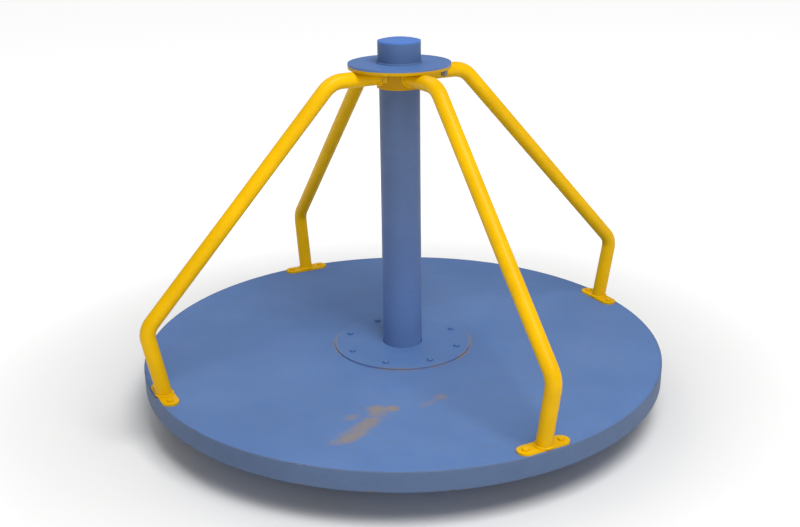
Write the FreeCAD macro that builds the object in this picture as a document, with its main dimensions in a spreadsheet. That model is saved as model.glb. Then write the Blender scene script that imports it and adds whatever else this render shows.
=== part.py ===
import FreeCAD, Part
import math
import os
import re
import Sketcher

# Playground merry-go-round. The round deck, its handles and the top hub turn
# together on one ball bearing at the head of a fixed centre post.
# Frame: +Z up, origin on the ground under the centre of the post.

DRIVING_SIZES = {
    # deck
    "deck_radius": 762.0,
    "deck_top": 160.0,
    "deck_thickness": 5.0,
    "deck_bore": 70.0,
    "rim_depth": 55.0,
    "rim_wall": 5.0,
    "rim_edge_break": 1.2,
    "weld_gap": 0.3,
    # spokes under the deck
    "spoke_count": 8.0,
    "spoke_width": 60.0,
    "spoke_depth": 40.0,
    "spoke_wall": 5.0,
    # deck hub and its guide
    "deck_hub_radius": 84.15,
    "deck_hub_wall": 10.0,
    "deck_hub_depth": 46.0,
    "guide_bush_length": 40.0,
    "running_gap": 0.35,
    "dust_seal_thickness": 4.4,
    # bolted cover plate round the foot of the post
    "cover_radius": 203.0,
    "cover_thickness": 5.0,
    "cover_bore": 58.5,
    "cover_bolt_circle": 167.5,
    "cover_bolt_count": 8.0,
    # fasteners
    "bolt_radius": 5.0,
    "thread_gap": 0.15,
    "bolt_hole_radius": 5.5,
    "head_flats": 16.0,
    "head_height": 6.4,
    "head_bevel": 0.44,
    "nut_height": 8.0,
    "washer_radius": 10.0,
    "washer_thickness": 2.0,
    "thread_reach": 12.0,
    # ground plate, gussets and post
    "ground_plate_radius": 225.0,
    "ground_plate_thickness": 14.0,
    "anchor_circle": 190.0,
    "anchor_hole_radius": 9.0,
    "anchor_count": 6.0,
    "anchor_first_angle": 30.0,
    "gusset_reach": 150.0,
    "gusset_top": 94.0,
    "gusset_toe": 15.0,
    "gusset_thickness": 8.0,
    "post_radius": 57.15,
    "post_wall": 6.3,
    "post_top": 950.0,
    # spindle head and its locknut
    "plug_length": 60.0,
    "plug_gap": 0.25,
    "spindle_flange": 12.0,
    "spindle_neck_radius": 30.0,
    "bearing_seat": 1005.0,
    "journal_radius": 25.0,
    "spindle_top": 1048.0,
    "lock_washer_radius": 36.0,
    "lock_washer_thickness": 2.0,
    "lock_nut_radius": 35.0,
    "lock_nut_height": 11.0,
    "lock_nut_slot": 6.0,
    "lock_nut_slot_depth": 4.0,
    "lock_nut_slot_count": 4.0,
    "spindle_fit": 0.2,
    # ball bearing
    "bearing_width": 27.0,
    "inner_ring_radius": 34.5,
    "outer_ring_bore": 45.5,
    "ball_circle": 40.0,
    "ball_radius": 9.525,
    "ball_count": 8.0,
    "ball_play": 0.375,
    "cage_inner": 38.4,
    "cage_outer": 41.6,
    "cage_height": 24.0,
    "cage_pocket_radius": 9.9,
    # bearing cap on the hub disc
    "cap_radius": 60.0,
    "cap_wall": 5.0,
    "cap_height": 56.0,
    "lid_spigot": 4.0,
    "lid_edge": 4.0,
    "lid_crown": 8.0,
    "spacer_wall": 8.5,
    "seal_thickness": 5.5,
    # hub
    "hub_disc_top": 999.0,
    "hub_disc_thickness": 6.0,
    "hub_disc_bore": 35.0,
    "hub_radius": 143.0,
    "hub_flange_thickness": 8.0,
    "hub_collar_radius": 63.5,
    "hub_collar_wall": 5.0,
    "hub_collar_depth": 54.0,
    "hub_bolt_circle": 128.0,
    "hub_bolt_count": 4.0,
    "hub_bolt_head_radius": 9.5,
    # handles, in the vertical plane of each
    "handle_count": 4.0,
    "handle_first_angle": 45.0,
    "tube_radius": 21.2,
    "tube_wall": 3.2,
    "shoulder_x": 206.0,
    "shoulder_z": 963.5,
    "knee_x": 768.5,
    "knee_z": 356.0,
    "foot_x": 733.0,
    "shoulder_bend_radius": 72.0,
    "knee_bend_radius": 54.0,
    # foot bars
    "foot_bar_length": 150.0,
    "foot_bar_width": 46.0,
    "foot_bar_thickness": 6.0,
    "foot_bolt_spacing": 106.0,
    "foot_bolt_turn": 12.0,
}

doc = FreeCAD.newDocument("MerryGoRound")
sheet = doc.addObject("Spreadsheet::Sheet", "Sizes")
for row, (alias, value) in enumerate(DRIVING_SIZES.items(), start=1):
    sheet.set(f"A{row}", alias)
    sheet.set(f"B{row}", str(value))
    sheet.setAlias(f"B{row}", alias)
doc.recompute()

parts = []


def size(alias):
    """A driving size, read back from the sheet."""
    return float(getattr(sheet, alias))


def bound(text):
    """Turn plain aliases in an expression into references to the sheet."""
    def refer(word):
        return "Sizes." + word.group() if word.group() in DRIVING_SIZES else word.group()
    return re.sub(r"[a-z_]+", refer, text)


def value_of(text):
    """The number that an expression of aliases comes to."""
    return float(sheet.evalExpression(bound(text)))


def new_body(label):
    body = doc.addObject("PartDesign::Body", label)
    body.Label = label
    body.AllowCompound = True
    parts.append(body)
    return body


def plane_of(body, role):
    return next(item for item in body.Origin.OriginFeatures if item.Role == role)


def new_sketch(body, name, role="XY_Plane", lift=None):
    """A sketch on one of the body's own origin planes, raised along its normal by `lift`."""
    sketch = body.newObject("Sketcher::SketchObject", body.Name + "_" + name)
    sketch.AttachmentSupport = [(plane_of(body, role), "")]
    sketch.MapMode = "FlatFace"
    if lift is not None:
        sketch.setExpression("AttachmentOffset.Base.z", bound(lift))
    return sketch


def circle(sketch, radius, x="0", y="0"):
    """A circle whose radius and centre are bound to the sheet."""
    centre = FreeCAD.Vector(value_of(x), value_of(y), 0)
    shape = Part.Circle(centre, FreeCAD.Vector(0, 0, 1), value_of(radius))
    index = sketch.addGeometry(shape, False)
    limit = sketch.addConstraint(Sketcher.Constraint("Radius", index, value_of(radius)))
    sketch.setExpression(f"Constraints[{limit}]", bound(radius))
    pin(sketch, index, 3, x, y)
    return index


def pin(sketch, index, point, x, y):
    """Hold one point of a sketch at (x, y), measured from the origin."""
    for kind, text in (("DistanceX", x), ("DistanceY", y)):
        rule = Sketcher.Constraint(kind, -1, 1, index, point, value_of(text))
        limit = sketch.addConstraint(rule)
        if text != "0":
            sketch.setExpression(f"Constraints[{limit}]", bound(text))


def outline(sketch, corners):
    """A closed polygon with every corner bound to the sheet."""
    spots = [FreeCAD.Vector(value_of(x), value_of(y), 0) for x, y in corners]
    lines = []
    for number, spot in enumerate(spots):
        following = spots[(number + 1) % len(spots)]
        lines.append(sketch.addGeometry(Part.LineSegment(spot, following), False))
    for number, line in enumerate(lines):
        following = lines[(number + 1) % len(lines)]
        sketch.addConstraint(Sketcher.Constraint("Coincident", line, 2, following, 1))
        pin(sketch, line, 1, *corners[number])


def pad(body, sketch, length):
    feature = body.newObject("PartDesign::Pad", sketch.Name + "_pad")
    feature.Profile = sketch
    feature.setExpression("Length", bound(length))
    sketch.Visibility = False
    return feature


def cut_through(body, sketch):
    """Pocket a sketch right through the body, both ways."""
    doc.recompute()
    before = body.Shape.Volume
    feature = body.newObject("PartDesign::Pocket", sketch.Name + "_cut")
    feature.Profile = sketch
    feature.Type = 1
    feature.Midplane = True
    doc.recompute()
    if not body.Shape.Volume < before:
        raise RuntimeError(f"{feature.Name} removes nothing")
    return feature


def ring(label, outer, inner, bottom, height):
    """A flat ring or tube standing on `bottom`, or a plain disc when `inner` is None."""
    body = new_body(label)
    sketch = new_sketch(body, "section", lift=bottom)
    circle(sketch, outer)
    if inner is not None:
        circle(sketch, inner)
    pad(body, sketch, height)
    return body


def turned(label, corners):
    """A piece turned about Z from a half section of (radius, height) corners."""
    body = new_body(label)
    sketch = new_sketch(body, "half_section", "XZ_Plane")
    outline(sketch, corners)
    feature = body.newObject("PartDesign::Revolution", label + "_turn")
    feature.Profile = sketch
    feature.ReferenceAxis = (sketch, ["V_Axis"])
    feature.Angle = 360.0
    return body


def hole_circle(body, name, radius, circle_radius, count, first_angle="0"):
    """Equal round holes on a circle about Z."""
    sketch = new_sketch(body, name)
    x = f"{circle_radius} * cos({first_angle})"
    y = f"{circle_radius} * sin({first_angle})"
    circle(sketch, radius, x, y)
    repeat_round(body, cut_through(body, sketch), count)


def repeat_round(body, feature, count):
    """Repeat a feature evenly round the body's Z axis."""
    axis = next(item for item in body.Origin.OriginFeatures if item.Role == "Z_Axis")
    pattern = body.newObject("PartDesign::PolarPattern", feature.Name + "_pattern")
    pattern.Originals = [feature]
    pattern.Axis = (axis, [""])
    pattern.Angle = 360.0
    pattern.setExpression("Occurrences", bound(count))
    body.Tip = pattern
    doc.recompute()
    return pattern


def hexagon(flats):
    """A regular hexagon face on the XY plane, with two flats along X."""
    corner = flats / math.sqrt(3.0)
    spots = []
    for number in range(7):
        angle = math.radians(60 * number)
        spots.append(FreeCAD.Vector(corner * math.cos(angle), corner * math.sin(angle), 0))
    return Part.Face(Part.makePolygon(spots))


def hex_bolt(length):
    """Hexagon-head bolt: seat of the head at z 0, shank down."""
    head = hexagon(size("head_flats")).extrude(FreeCAD.Vector(0, 0, size("head_height")))
    top_radius = size("head_flats") * size("head_bevel")
    bevel = Part.makeCone(top_radius + size("head_height"), top_radius, size("head_height"))
    shank = Part.makeCylinder(size("bolt_radius"), length, FreeCAD.Vector(0, 0, -length))
    return head.common(bevel).fuse(shank).removeSplitter()


def hex_nut():
    """Hexagon nut, seat at z 0, body down, bored a little over the thread."""
    drop = FreeCAD.Vector(0, 0, -size("nut_height"))
    blank = hexagon(size("head_flats")).extrude(drop)
    bore = Part.makeCylinder(size("bolt_radius") + size("thread_gap"), size("nut_height"), drop)
    return blank.cut(bore)


def washer():
    """Flat washer, seat at z 0, body down."""
    drop = FreeCAD.Vector(0, 0, -size("washer_thickness"))
    blank = Part.makeCylinder(size("washer_radius"), size("washer_thickness"), drop)
    return blank.cut(Part.makeCylinder(size("bolt_hole_radius"), size("washer_thickness"), drop))


def countersunk_bolt(length):
    """Flat-head bolt: top of the head at z 0, shank down."""
    head_drop = size("hub_bolt_head_radius") - size("bolt_radius")
    head = Part.makeCone(size("bolt_radius"), size("hub_bolt_head_radius"), head_drop,
                         FreeCAD.Vector(0, 0, -head_drop))
    shank = Part.makeCylinder(size("bolt_radius"), length, FreeCAD.Vector(0, 0, -length))
    return head.fuse(shank).removeSplitter()


def group(label, piece, places):
    """One node of equal loose pieces, each turned about Z to face its own angle."""
    copies = []
    for x, y, z, angle in places:
        copy = piece.copy()
        copy.rotate(FreeCAD.Vector(0, 0, 0), FreeCAD.Vector(0, 0, 1), angle)
        copy.translate(FreeCAD.Vector(x, y, z))
        copies.append(copy)
    item = doc.addObject("Part::Feature", label)
    item.Label = label
    item.Shape = Part.makeCompound(copies)
    parts.append(item)
    return item


def spots_on_circle(radius, count, height):
    """Places evenly round the Z axis, the first on +X."""
    places = []
    for number in range(count):
        angle = 360.0 * number / count
        x = radius * math.cos(math.radians(angle))
        y = radius * math.sin(math.radians(angle))
        places.append((x, y, height, angle))
    return places


def handle_angles():
    """Angle of each handle about the post, in degrees."""
    step = 360.0 / size("handle_count")
    return [size("handle_first_angle") + step * number for number in range(int(size("handle_count")))]


# ---- fixed base ------------------------------------------------------------

def make_base():
    plate = ring("ground_plate", "ground_plate_radius", None, "0", "ground_plate_thickness")
    hole_circle(plate, "anchor_hole", "anchor_hole_radius", "anchor_circle", "anchor_count",
                "anchor_first_angle")

    gussets = new_body("base_gussets")
    side = new_sketch(gussets, "side", "XZ_Plane")
    wall = "post_radius + weld_gap"
    floor = "ground_plate_thickness"
    outline(side, [
        (wall, floor),
        ("gusset_reach + post_radius", floor),
        ("gusset_reach + post_radius", f"{floor} + gusset_toe"),
        (f"{wall} + gusset_toe", "gusset_top"),
        (wall, "gusset_top"),
    ])
    blade = pad(gussets, side, "gusset_thickness")
    blade.Midplane = True
    repeat_round(gussets, blade, "anchor_count")

    ring("centre_post", "post_radius", "post_radius - post_wall", "ground_plate_thickness",
         "post_top - ground_plate_thickness")

    plug = "post_radius - post_wall - plug_gap"
    turned("spindle_head", [
        ("0", "post_top - plug_length"),
        (plug, "post_top - plug_length"),
        (plug, "post_top"),
        ("post_radius", "post_top"),
        ("post_radius", "post_top + spindle_flange"),
        ("spindle_neck_radius", "post_top + spindle_flange"),
        ("spindle_neck_radius", "bearing_seat"),
        ("journal_radius", "bearing_seat"),
        ("journal_radius", "spindle_top"),
        ("0", "spindle_top"),
    ])
    on_race = "bearing_seat + bearing_width"
    ring("lock_washer", "lock_washer_radius", "journal_radius + spindle_fit", on_race, "lock_washer_thickness")
    nut = ring("lock_nut", "lock_nut_radius", "journal_radius + spindle_fit",
               on_race + " + lock_washer_thickness", "lock_nut_height")
    slot = new_sketch(nut, "slot")
    outline(slot, [
        ("lock_nut_radius - lock_nut_slot_depth", "-lock_nut_slot / 2"),
        ("lock_nut_radius + lock_nut_slot_depth", "-lock_nut_slot / 2"),
        ("lock_nut_radius + lock_nut_slot_depth", "lock_nut_slot / 2"),
        ("lock_nut_radius - lock_nut_slot_depth", "lock_nut_slot / 2"),
    ])
    repeat_round(nut, cut_through(nut, slot), "lock_nut_slot_count")


# ---- ball bearing ----------------------------------------------------------

def bearing_race(label, outer, inner):
    """One race: a plain ring with a ball groove turned in it."""
    blank = doc.addObject("Part::Cylinder", label + "_blank")
    blank.setExpression("Radius", bound(outer))
    bore = doc.addObject("Part::Cylinder", label + "_bore")
    bore.setExpression("Radius", bound(inner))
    for item in (blank, bore):
        item.setExpression("Height", bound("bearing_width"))
        item.setExpression("Placement.Base.z", bound("bearing_seat"))
    groove = doc.addObject("Part::Torus", label + "_groove")
    groove.setExpression("Radius1", bound("ball_circle"))
    groove.setExpression("Radius2", bound("ball_radius + ball_play"))
    groove.setExpression("Placement.Base.z", bound("bearing_seat + bearing_width / 2"))
    tube = doc.addObject("Part::Cut", label + "_ring")
    tube.Base = blank
    tube.Tool = bore
    race = doc.addObject("Part::Cut", label)
    race.Label = label
    race.Base = tube
    race.Tool = groove
    parts.append(race)


def make_bearing():
    bearing_race("bearing_inner_ring", "inner_ring_radius", "journal_radius + spindle_fit / 2")
    bearing_race("bearing_outer_ring", "cap_radius - cap_wall - weld_gap", "outer_ring_bore")

    middle = size("bearing_seat") + size("bearing_width") / 2
    count = int(size("ball_count"))
    seats = spots_on_circle(size("ball_circle"), count, middle)
    group("bearing_balls", Part.makeSphere(size("ball_radius")), seats)

    cage = ring("ball_cage", "cage_outer", "cage_inner",
                "bearing_seat + (bearing_width - cage_height) / 2", "cage_height")
    window = new_sketch(cage, "window", "YZ_Plane")
    circle(window, "cage_pocket_radius", "0", "bearing_seat + bearing_width / 2")
    doc.recompute()
    before = cage.Shape.Volume
    pocket = cage.newObject("PartDesign::Pocket", "ball_cage_window_cut")
    pocket.Profile = window
    pocket.setExpression("Length", bound("cage_outer * 1.2"))
    pocket.Reversed = True
    doc.recompute()
    if not cage.Shape.Volume < before:
        raise RuntimeError("the cage windows remove nothing")
    repeat_round(cage, pocket, "ball_count")


# ---- hub and bearing cap ---------------------------------------------------

def make_hub():
    disc = ring("hub_disc", "hub_radius", "hub_disc_bore",
                "hub_disc_top - hub_disc_thickness", "hub_disc_thickness")
    countersinks(disc)
    flange_top = "hub_disc_top - hub_disc_thickness"
    collar_bore = "hub_collar_radius - hub_collar_wall"
    flange = ring("hub_flange", "hub_radius", collar_bore,
                  flange_top + " - hub_flange_thickness", "hub_flange_thickness")
    hole_circle(flange, "bolt_hole", "bolt_hole_radius", "hub_bolt_circle", "hub_bolt_count")
    ring("hub_collar", "hub_collar_radius", collar_bore,
         flange_top + " - hub_flange_thickness - hub_collar_depth", "hub_collar_depth")

    under = size("hub_disc_top") - size("hub_disc_thickness") - size("hub_flange_thickness")
    nut_top = under - size("washer_thickness")
    locknut_top = nut_top - size("nut_height")
    reach = size("hub_disc_top") - locknut_top + size("thread_reach")
    count = int(size("hub_bolt_count"))
    circle_radius = size("hub_bolt_circle")
    group("hub_bolts", countersunk_bolt(reach),
          spots_on_circle(circle_radius, count, size("hub_disc_top")))
    group("hub_washers", washer(), spots_on_circle(circle_radius, count, under))
    group("hub_nuts", hex_nut(),
          spots_on_circle(circle_radius, count, nut_top)
          + spots_on_circle(circle_radius, count, locknut_top))


def countersinks(disc):
    """Countersunk holes down through the hub disc, so that the bolt heads lie flush."""
    centre = new_sketch(disc, "countersink", lift="hub_disc_top")
    circle(centre, "bolt_hole_radius", "hub_bolt_circle", "0")
    doc.recompute()
    before = disc.Shape.Volume
    hole = disc.newObject("PartDesign::Hole", "hub_disc_countersink")
    hole.Profile = centre
    doc.recompute()
    hole.DepthType = "ThroughAll"
    hole.setExpression("Diameter", bound("bolt_hole_radius * 2"))
    hole.HoleCutType = "Countersink"
    hole.HoleCutCountersinkAngle = 90.0
    hole.setExpression("HoleCutDiameter", bound("(hub_bolt_head_radius + weld_gap) * 2"))
    doc.recompute()
    if not disc.Shape.Volume < before:
        raise RuntimeError("the countersinks remove nothing")
    repeat_round(disc, hole, "hub_bolt_count")


def make_bearing_cap():
    bore = "cap_radius - cap_wall"
    ring("bearing_cap", "cap_radius", bore, "hub_disc_top", "cap_height")
    ring("bearing_seal", bore + " - weld_gap", "spindle_neck_radius + running_gap",
         "hub_disc_top", "seal_thickness")
    lid_seat = "hub_disc_top + cap_height"
    spacer_bottom = "bearing_seat + bearing_width"
    ring("load_spacer", bore + " - weld_gap", bore + " - spacer_wall", spacer_bottom,
         f"{lid_seat} - lid_spigot - ({spacer_bottom})")
    lid = new_body("cap_lid")
    section = new_sketch(lid, "half_section", "XZ_Plane")
    lid_section(section, lid_seat)
    feature = lid.newObject("PartDesign::Revolution", "cap_lid_turn")
    feature.Profile = section
    feature.ReferenceAxis = (section, ["V_Axis"])
    feature.Angle = 360.0


def lid_section(sketch, seat):
    """Half section of the lid: a spigot below, a short edge and a shallow crown."""
    spigot = "cap_radius - cap_wall - weld_gap"
    corners = [
        ("0", f"{seat} + lid_edge + lid_crown"),
        ("0", f"{seat} - lid_spigot"),
        (spigot, f"{seat} - lid_spigot"),
        (spigot, seat),
        ("cap_radius", seat),
        ("cap_radius", f"{seat} + lid_edge"),
    ]
    spots = [FreeCAD.Vector(value_of(x), value_of(y), 0) for x, y in corners]
    lines = []
    for start, end in zip(spots, spots[1:]):
        lines.append(sketch.addGeometry(Part.LineSegment(start, end), False))
    for number, line in enumerate(lines):
        pin(sketch, line, 1, *corners[number])
        if number:
            sketch.addConstraint(Sketcher.Constraint("Coincident", lines[number - 1], 2, line, 1))
    pin(sketch, lines[-1], 2, *corners[-1])
    crown = size("lid_crown")
    sphere = (size("cap_radius") ** 2 + crown ** 2) / (2 * crown)
    centre = FreeCAD.Vector(0, spots[0].y - sphere, 0)
    start = math.atan2(spots[-1].y - centre.y, spots[-1].x)
    flat = Part.Circle(centre, FreeCAD.Vector(0, 0, 1), sphere)
    arc = sketch.addGeometry(Part.ArcOfCircle(flat, start, math.pi / 2), False)
    sketch.addConstraint(Sketcher.Constraint("Coincident", lines[-1], 2, arc, 1))
    sketch.addConstraint(Sketcher.Constraint("Coincident", arc, 2, lines[0], 1))
    sketch.addConstraint(Sketcher.Constraint("PointOnObject", arc, 3, -2))


# ---- deck ------------------------------------------------------------------

def make_deck():
    underside = "deck_top - deck_thickness"
    inside = "deck_radius - rim_wall - weld_gap"
    deck = ring("deck_plate", inside, "deck_bore", underside, "deck_thickness")
    hole_circle(deck, "cover_hole", "bolt_hole_radius", "cover_bolt_circle", "cover_bolt_count")
    feet = new_sketch(deck, "foot_hole")
    for side in (1, -1):
        x = f"foot_x * cos(handle_first_angle) - {side} * foot_bolt_spacing / 2 * sin(handle_first_angle)"
        y = f"foot_x * sin(handle_first_angle) + {side} * foot_bolt_spacing / 2 * cos(handle_first_angle)"
        circle(feet, "bolt_hole_radius", x, y)
    repeat_round(deck, cut_through(deck, feet), "handle_count")

    bottom = "deck_top - rim_depth"
    turned("rim_band", [
        ("deck_radius - rim_wall", bottom),
        ("deck_radius", bottom),
        ("deck_radius", "deck_top - rim_edge_break"),
        ("deck_radius - rim_edge_break", "deck_top"),
        ("deck_radius - rim_wall", "deck_top"),
    ])

    ring("deck_hub_tube", "deck_hub_radius", "deck_hub_radius - deck_hub_wall",
         underside + " - deck_hub_depth", "deck_hub_depth")
    hub_bore = "deck_hub_radius - deck_hub_wall"
    guide_top = underside + " - weld_gap"
    ring("guide_bush", hub_bore + " - weld_gap", "post_radius + running_gap",
         guide_top + " - guide_bush_length", "guide_bush_length")
    ring("dust_seal", "deck_bore - weld_gap", "post_radius + running_gap",
         underside + " + weld_gap", "dust_seal_thickness")

    for number in range(int(size("spoke_count"))):
        make_spoke(number + 1, 360.0 * number / size("spoke_count"))


def make_spoke(number, angle):
    """A channel under the deck, open side down, from the deck hub to the rim."""
    spoke = new_body(f"deck_spoke_{number}")
    section = new_sketch(spoke, "section", "YZ_Plane", lift="deck_hub_radius / 2")
    top = "deck_top - deck_thickness"
    bottom = top + " - spoke_depth"
    outline(section, [
        ("-spoke_width / 2", bottom),
        ("-spoke_width / 2 + spoke_wall", bottom),
        ("-spoke_width / 2 + spoke_wall", top + " - spoke_wall"),
        ("spoke_width / 2 - spoke_wall", top + " - spoke_wall"),
        ("spoke_width / 2 - spoke_wall", bottom),
        ("spoke_width / 2", bottom),
        ("spoke_width / 2", top),
        ("-spoke_width / 2", top),
    ])
    pad(spoke, section, "deck_radius")
    inner = new_sketch(spoke, "hub_end")
    circle(inner, "deck_hub_radius + weld_gap")
    cut_through(spoke, inner)
    outer = new_sketch(spoke, "rim_end")
    circle(outer, "deck_radius - rim_wall - weld_gap")
    circle(outer, "deck_radius * 1.2")
    cut_through(spoke, outer)
    hole = new_sketch(spoke, "bolt_hole")
    circle(hole, "bolt_hole_radius", "cover_bolt_circle", "0")
    cut_through(spoke, hole)
    turn_about_post(spoke, angle)


def turn_about_post(item, angle):
    item.Placement = FreeCAD.Placement(FreeCAD.Vector(0, 0, 0),
                                       FreeCAD.Rotation(FreeCAD.Vector(0, 0, 1), angle))


def make_cover():
    cover = ring("cover_plate", "cover_radius", "cover_bore", "deck_top", "cover_thickness")
    hole_circle(cover, "bolt_hole", "bolt_hole_radius", "cover_bolt_circle", "cover_bolt_count")
    count = int(size("cover_bolt_count"))
    top = size("deck_top") + size("cover_thickness")
    under = size("deck_top") - size("deck_thickness") - size("spoke_wall")
    reach = top - under + size("washer_thickness") + size("thread_reach")
    circle_radius = size("cover_bolt_circle")
    group("cover_bolts", hex_bolt(reach), spots_on_circle(circle_radius, count, top))
    group("cover_washers", washer(), spots_on_circle(circle_radius, count, under))
    group("cover_nuts", hex_nut(),
          spots_on_circle(circle_radius, count, under - size("washer_thickness")))


# ---- handles ---------------------------------------------------------------

def bend(corner, before, after, radius):
    """Tangent points, centre and side of the arc that rounds one corner."""
    into = (corner - before).normalize()
    out = (after - corner).normalize()
    turn = math.acos(into.dot(out))
    reach = radius * math.tan(turn / 2)
    start = corner - into * reach
    end = corner + out * reach
    inward = (out - into).normalize()
    centre = corner + inward * (radius / math.cos(turn / 2))
    return start, end, centre


def handle_path(sketch):
    """Centre line: out from the post, down the long slope and in to the foot."""
    corners = [
        ("0", "shoulder_z"),
        ("shoulder_x", "shoulder_z"),
        ("knee_x", "knee_z"),
        ("foot_x", "deck_top"),
    ]
    spots = [FreeCAD.Vector(value_of(x), value_of(y), 0) for x, y in corners]
    radii = {1: "shoulder_bend_radius", 2: "knee_bend_radius"}
    start = spots[0]
    lines = []
    arcs = []
    for number, alias in radii.items():
        radius = size(alias)
        entry, leave, centre = bend(spots[number], spots[number - 1], spots[number + 1], radius)
        lines.append(sketch.addGeometry(Part.LineSegment(start, entry), False))
        flat = Part.Circle(centre, FreeCAD.Vector(0, 0, 1), radius)
        first = math.atan2(leave.y - centre.y, leave.x - centre.x)
        last = math.atan2(entry.y - centre.y, entry.x - centre.x)
        arcs.append(sketch.addGeometry(Part.ArcOfCircle(flat, first, last), False))
        start = leave
    lines.append(sketch.addGeometry(Part.LineSegment(start, spots[3]), False))
    pin(sketch, lines[0], 1, *corners[0])
    pin(sketch, lines[2], 2, *corners[3])
    for number, alias in radii.items():
        mark = sketch.addGeometry(Part.Point(spots[number]), True)
        pin(sketch, mark, 1, *corners[number])
        for line in (lines[number - 1], lines[number]):
            sketch.addConstraint(Sketcher.Constraint("PointOnObject", mark, 1, line))
        arc = arcs[number - 1]
        sketch.addConstraint(Sketcher.Constraint("Tangent", lines[number - 1], 2, arc, 2))
        sketch.addConstraint(Sketcher.Constraint("Tangent", arc, 1, lines[number], 1))
        limit = sketch.addConstraint(Sketcher.Constraint("Radius", arc, size(alias)))
        sketch.setExpression(f"Constraints[{limit}]", bound(alias))


def make_handle(number, angle):
    """A bent tube from the hub collar down to its foot bar."""
    handle = new_body(f"handle_{number}")
    path = new_sketch(handle, "path", "XZ_Plane")
    handle_path(path)
    section = new_sketch(handle, "section", "YZ_Plane")
    circle(section, "tube_radius", "0", "shoulder_z")
    circle(section, "tube_radius - tube_wall", "0", "shoulder_z")
    doc.recompute()
    pipe = handle.newObject("PartDesign::AdditivePipe", handle.Name + "_tube")
    pipe.Profile = section
    pipe.Spine = (path, [])
    collar = new_sketch(handle, "collar_end")
    circle(collar, "hub_collar_radius + weld_gap")
    cut_through(handle, collar)
    foot = new_sketch(handle, "foot_end", "XZ_Plane")
    bar_top = "deck_top + foot_bar_thickness"
    outline(foot, [
        ("foot_x - 4 * tube_radius", "deck_top - 2 * tube_radius"),
        ("foot_x + 4 * tube_radius", "deck_top - 2 * tube_radius"),
        ("foot_x + 4 * tube_radius", bar_top),
        ("foot_x - 4 * tube_radius", bar_top),
    ])
    cut_through(handle, foot)
    turn_about_post(handle, angle)


def make_foot_bar(number, angle):
    """A flat bar with round ends, across the foot of one handle."""
    bar = new_body(f"foot_bar_{number}")
    sketch = new_sketch(bar, "shape", lift="deck_top")
    half_width = size("foot_bar_width") / 2
    run = size("foot_bar_length") / 2 - half_width
    centre_x = size("foot_x")
    up = FreeCAD.Vector(0, 0, 1)
    ends = []
    for side in (1, -1):
        centre = FreeCAD.Vector(centre_x, side * run, 0)
        first = 0.0 if side == 1 else math.pi
        arc = Part.ArcOfCircle(Part.Circle(centre, up, half_width), first, first + math.pi)
        ends.append(sketch.addGeometry(arc, False))
        limit = sketch.addConstraint(Sketcher.Constraint("Radius", ends[-1], half_width))
        sketch.setExpression(f"Constraints[{limit}]", bound("foot_bar_width / 2"))
        pin(sketch, ends[-1], 3, "foot_x", f"{side} * (foot_bar_length - foot_bar_width) / 2")
    edges = []
    for x in (centre_x - half_width, centre_x + half_width):
        low = FreeCAD.Vector(x, -run, 0)
        high = FreeCAD.Vector(x, run, 0)
        edges.append(sketch.addGeometry(Part.LineSegment(low, high), False))
    inner, outer = edges
    sketch.addConstraint(Sketcher.Constraint("Tangent", ends[0], 2, inner, 2))
    sketch.addConstraint(Sketcher.Constraint("Tangent", ends[0], 1, outer, 2))
    sketch.addConstraint(Sketcher.Constraint("Tangent", ends[1], 1, inner, 1))
    sketch.addConstraint(Sketcher.Constraint("Tangent", ends[1], 2, outer, 1))
    pad(bar, sketch, "foot_bar_thickness")
    holes = new_sketch(bar, "bolt_hole")
    for side in (1, -1):
        circle(holes, "bolt_hole_radius", "foot_x", f"{side} * foot_bolt_spacing / 2")
    cut_through(bar, holes)
    turn_about_post(bar, angle)


def make_handles():
    for number, angle in enumerate(handle_angles(), start=1):
        make_handle(number, angle)
        make_foot_bar(number, angle)
    top = size("deck_top") + size("foot_bar_thickness")
    under = size("deck_top") - size("deck_thickness")
    reach = top - under + size("washer_thickness") + size("thread_reach")
    stack = (
        ("foot_bolts", hex_bolt(reach), top),
        ("foot_washers", washer(), under),
        ("foot_nuts", hex_nut(), under - size("washer_thickness")),
    )
    for label, piece, level in stack:
        places = []
        for angle in handle_angles():
            across = math.radians(angle + 90.0)
            along = math.radians(angle)
            for side in (1, -1):
                offset = side * size("foot_bolt_spacing") / 2
                x = size("foot_x") * math.cos(along) + offset * math.cos(across)
                y = size("foot_x") * math.sin(along) + offset * math.sin(across)
                places.append((x, y, level, angle + size("foot_bolt_turn") * side))
        group(label, piece, places)


# ---- build, check and write ------------------------------------------------

make_base()
make_bearing()
make_hub()
make_bearing_cap()
make_deck()
make_cover()
make_handles()
doc.recompute()

faults = []
for item in doc.Objects:
    if "Invalid" in item.State or "Error" in item.State:
        faults.append(f"{item.Label}: {item.State}")
for item in parts:
    if item.Shape.isNull() or not item.Shape.isValid() or not item.Shape.Solids:
        faults.append(f"{item.Label}: no valid solid")
if faults:
    raise RuntimeError("; ".join(faults))

os.makedirs("parts", exist_ok=True)
for item in parts:
    item.Shape.exportStep(f"parts/{item.Label}.step")
print(len(parts), "parts written")
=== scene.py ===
import math
import random

import bmesh
import bpy
from bpy.props import FloatProperty, FloatVectorProperty, PointerProperty
from mathutils import Matrix, Vector


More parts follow.
